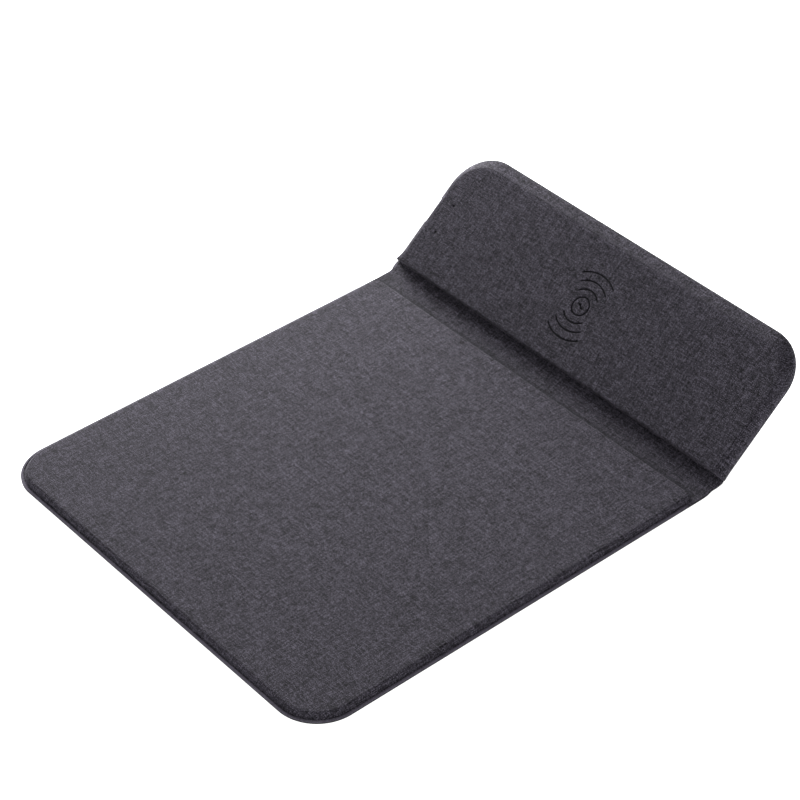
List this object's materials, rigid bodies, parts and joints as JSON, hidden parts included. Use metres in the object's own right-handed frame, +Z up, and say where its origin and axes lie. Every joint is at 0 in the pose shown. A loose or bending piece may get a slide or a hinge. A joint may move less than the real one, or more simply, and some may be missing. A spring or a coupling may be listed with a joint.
{
  "type": "wireless charging mouse mat",
  "caption": "Cloth-covered mouse mat with a hinged wireless charging panel that tilts up on a fold-out prop to hold a phone.",
  "frame": {"origin": "middle of the footprint, on the table, with the panel propped up", "axes": "+X along the fold lines, +Y from the mat's front edge towards the charging panel, +Z up"},
  "size_m": [0.21, 0.2732, 0.0462],
  "materials": {
    "woven_cloth": "charcoal plain-weave polyester, matte",
    "grip_sheet": "black grained non-slip leatherette",
    "core_board": "dense foam board",
    "foam": "closed-cell foam",
    "shell_plastic": "fine moulded texture",
    "copper": "enamelled copper wire",
    "ferrite": "sintered ferrite",
    "board": "solder mask on glass-fibre board",
    "chip_resin": "moulded resin",
    "ceramic": "fired ceramic with tinned ends",
    "bright_steel": "plated steel",
    "magnet_plating": "nickel plating",
    "light_resin": "cast resin",
    "clear_plastic": "clear moulded guide",
    "foot_rubber": "soft matte rubber"
  },
  "bodies": {
    "mat": {"mat_cover": "woven_cloth", "mat_core": "core_board", "mat_backing": "grip_sheet"},
    "hinge_strip": {"strip_cover": "woven_cloth", "strip_backing": "grip_sheet"},
    "charging_panel": {"panel_cover": "woven_cloth", "panel_backing": "grip_sheet", "face_pad": "foam", "top_shell": "shell_plastic", "bottom_shell": "shell_plastic", "charging_coil": "copper", "coil_leads": "copper", "ferrite_sheet": "ferrite", "thermistor": "chip_resin", "circuit_board": "board", "usb_c_shell": "bright_steel", "usb_c_tongue": "chip_resin", "controller_chip": "chip_resin", "bridge_transistors": "chip_resin", "resonant_capacitors": "ceramic", "filter_inductor": "ferrite", "status_lights": "light_resin", "light_pipes": "clear_plastic", "case_screws": "bright_steel", "latch_magnets": "magnet_plating", "hinge_pins": "bright_steel"},
    "prop": {"prop_flap": "shell_plastic", "prop_skin": "grip_sheet", "prop_foot": "foot_rubber", "catch_plates": "bright_steel"}
  },
  "joints": [
    {"name": "strip_fold", "type": "hinge", "parent": "mat", "child": "hinge_strip", "pos_m": [0, 0.07792, 0.0005], "axis": [1, 0, 0], "range_deg": [-18, 58]},
    {"name": "panel_fold", "type": "hinge", "parent": "hinge_strip", "child": "charging_panel", "pos_m": [0, 0.08533, 0.00291], "axis": [1, 0, 0], "range_deg": [-21.6, 69.6]},
    {"name": "prop_hinge", "type": "hinge", "parent": "charging_panel", "child": "prop", "pos_m": [0, 0.12643, 0.03795], "axis": [1, 0, 0], "range_deg": [-60.4, 0]}
  ],
  "couplings": [
    {"joint": "panel_fold", "follows": "strip_fold", "ratio": 1.2}
  ]
}
